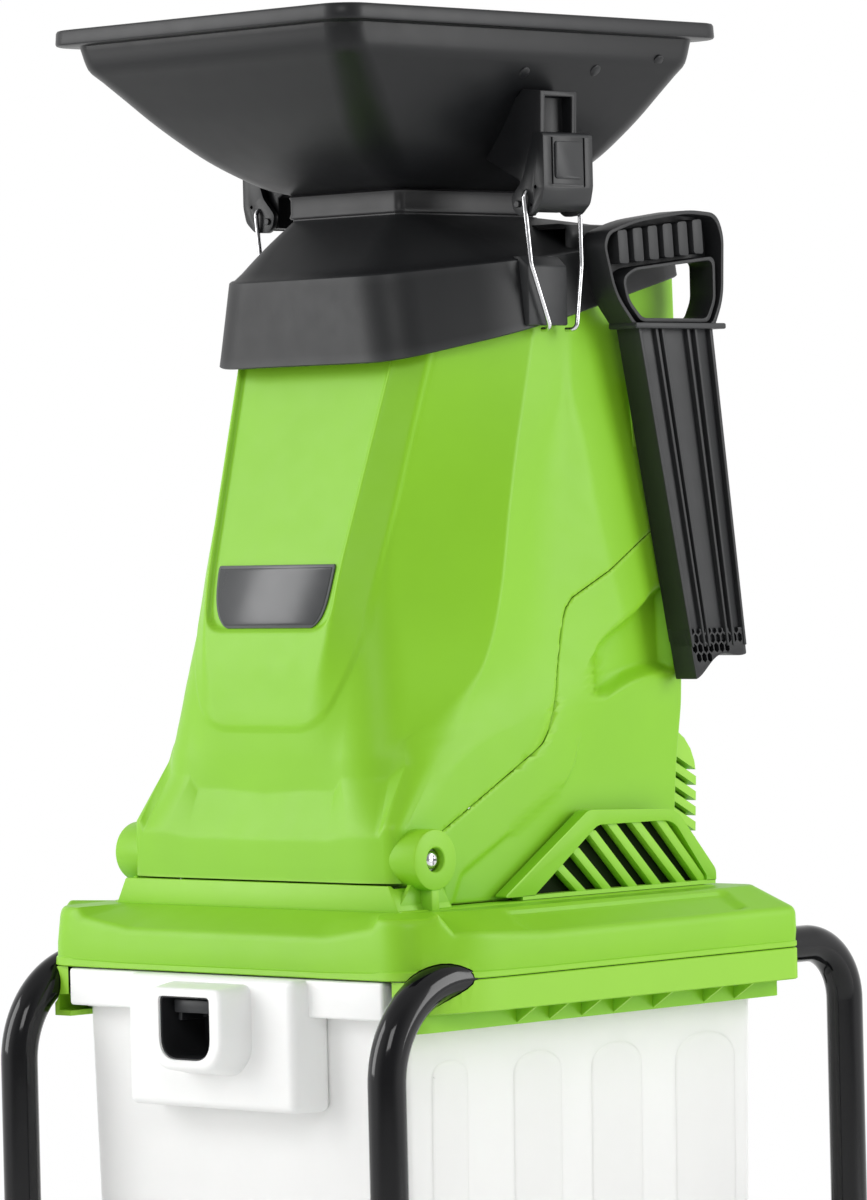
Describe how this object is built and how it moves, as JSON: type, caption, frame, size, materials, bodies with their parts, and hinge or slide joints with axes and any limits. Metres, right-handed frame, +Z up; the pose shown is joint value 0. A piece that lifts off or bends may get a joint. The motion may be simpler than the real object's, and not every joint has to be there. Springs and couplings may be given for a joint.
{
  "type": "electric garden chipper",
  "caption": "Upright electric wood chipper: square feed hopper on a tilting tower with a cutting disc, over a slide-out chip box, on a wheeled tube frame.",
  "frame": {"origin": "on the floor under the middle of the bounding box", "axes": "-Y towards the machine's front with the chip box, +X towards its own left side with the pusher, +Z up"},
  "size_m": [0.5258, 0.6, 1.09],
  "materials": {
    "green_plastic": "fine-textured moulded lime green plastic",
    "black_plastic": "satin moulded black plastic",
    "wheel_plastic": "matt black plastic",
    "dark_label": "dark grey name plate, left blank",
    "white_plastic": "milky white moulded plastic",
    "black_paint": "gloss black powder coat",
    "rubber": "matt black rubber",
    "chrome": "bright plated steel",
    "steel": "machined steel",
    "aluminium": "die-cast aluminium",
    "brass": "copper and brass",
    "red_plastic": "red button",
    "start_green": "green button"
  },
  "bodies": {
    "stand": {"frame_tube_left": "black_paint", "frame_tube_right": "black_paint", "front_cross_tube": "black_paint", "rear_cross_tube": "black_paint", "front_foot_left": "rubber", "front_foot_right": "rubber", "axle": "steel", "hub_cap_left": "black_plastic", "hub_cap_right": "black_plastic", "lid_top": "green_plastic", "lid_base": "green_plastic", "rear_housing": "green_plastic", "side_vent_left": "green_plastic", "side_vent_right": "green_plastic", "rear_vent_cover": "green_plastic", "hinge_pin_left": "steel", "hinge_pin_right": "steel", "hinge_screw_left": "chrome", "hinge_screw_right": "chrome", "gearbox_cover": "aluminium", "gearbox_base": "aluminium", "spindle_bearing_upper": "steel", "spindle_bearing_lower": "steel", "stator": "steel", "motor_can": "black_plastic", "brush_left": "brass", "brush_right": "brass", "switch_box": "black_plastic", "power_inlet": "black_plastic", "safety_switch": "black_plastic"},
    "tower": {"upper_housing": "green_plastic", "top_collar": "black_plastic", "hopper": "black_plastic", "feed_chute": "black_plastic", "label_plate": "dark_label", "pusher_bracket": "green_plastic"},
    "knob": {"lock_knob": "black_plastic"},
    "latch_left": {"latch_lever_left": "black_plastic"},
    "latch_right": {"latch_lever_right": "black_plastic"},
    "bail_left": {"bail_wire_left": "chrome"},
    "bail_right": {"bail_wire_right": "chrome"},
    "pusher": {"pusher": "black_plastic"},
    "chip_box": {"collection_box": "white_plastic"},
    "chip_box_lock": {"box_lock": "black_plastic"},
    "left_wheel": {"wheel_left": "wheel_plastic"},
    "right_wheel": {"wheel_right": "wheel_plastic"},
    "rotor": {"spindle": "steel", "spur_gear": "steel", "blade_disc": "steel", "knife_a": "steel", "knife_b": "steel", "knife_a_screw": "steel", "knife_b_screw": "steel", "disc_bolt": "steel"},
    "motor_rotor": {"armature": "steel", "commutator": "brass", "motor_fan": "black_plastic", "motor_pinion": "steel"},
    "start": {"start_button": "start_green"},
    "stop": {"stop_button": "red_plastic"}
  },
  "joints": [
    {"name": "tower_tilt", "type": "hinge", "parent": "stand", "child": "tower", "pos_m": [0, -0.189, 0.467], "axis": [1, 0, 0], "range_deg": [0, 60]},
    {"name": "lock_knob_turn", "type": "hinge", "parent": "tower", "child": "knob", "pos_m": [0, 0.15, 0.759], "axis": [0, 1, 0], "range_deg": [0, 720]},
    {"name": "latch_left_open", "type": "hinge", "parent": "tower", "child": "latch_left", "pos_m": [0.133, -0.03, 0.949], "axis": [0, 1, 0], "range_deg": [0, 100]},
    {"name": "latch_right_open", "type": "hinge", "parent": "tower", "child": "latch_right", "pos_m": [-0.133, -0.03, 0.949], "axis": [0, -1, 0], "range_deg": [0, 100]},
    {"name": "bail_left_swing", "type": "hinge", "parent": "latch_left", "child": "bail_left", "pos_m": [0.1425, -0.03, 0.958], "axis": [0, 1, 0], "range_deg": [-110, 0]},
    {"name": "bail_right_swing", "type": "hinge", "parent": "latch_right", "child": "bail_right", "pos_m": [-0.1425, -0.03, 0.958], "axis": [0, -1, 0], "range_deg": [-110, 0]},
    {"name": "pusher_lift", "type": "slide", "parent": "tower", "child": "pusher", "axis": [0, 0, 1], "range_m": [0, 0.07]},
    {"name": "chip_box_slide", "type": "slide", "parent": "stand", "child": "chip_box", "axis": [0, -1, 0], "range_m": [0, 0.36]},
    {"name": "chip_box_lock_slide", "type": "slide", "parent": "chip_box", "child": "chip_box_lock", "axis": [0, 0, -1], "range_m": [0, 0.018]},
    {"name": "left_wheel_spin", "type": "hinge", "parent": "stand", "child": "left_wheel", "pos_m": [0.2315, 0.225, 0.075], "axis": [1, 0, 0], "continuous": true},
    {"name": "right_wheel_spin", "type": "hinge", "parent": "stand", "child": "right_wheel", "pos_m": [-0.2315, 0.225, 0.075], "axis": [1, 0, 0], "continuous": true},
    {"name": "rotor_spin", "type": "hinge", "parent": "stand", "child": "rotor", "pos_m": [0, -0.041, 0.639], "axis": [0, -0.454, 0.891], "continuous": true},
    {"name": "motor_spin", "type": "hinge", "parent": "stand", "child": "motor_rotor", "pos_m": [0, -0.00759, 0.65602], "axis": [0, -0.454, 0.891], "continuous": true},
    {"name": "start_press", "type": "slide", "parent": "stand", "child": "start", "axis": [0, -1, 0], "range_m": [0, 0.004], "stiffness_N_per_m": 300},
    {"name": "stop_press", "type": "slide", "parent": "stand", "child": "stop", "axis": [0, -1, 0], "range_m": [0, 0.004], "stiffness_N_per_m": 300}
  ],
  "couplings": [
    {"joint": "motor_spin", "follows": "rotor_spin", "ratio": -4},
    {"joint": "bail_left_swing", "follows": "latch_left_open", "ratio": -1.1},
    {"joint": "bail_right_swing", "follows": "latch_right_open", "ratio": -1.1}
  ]
}
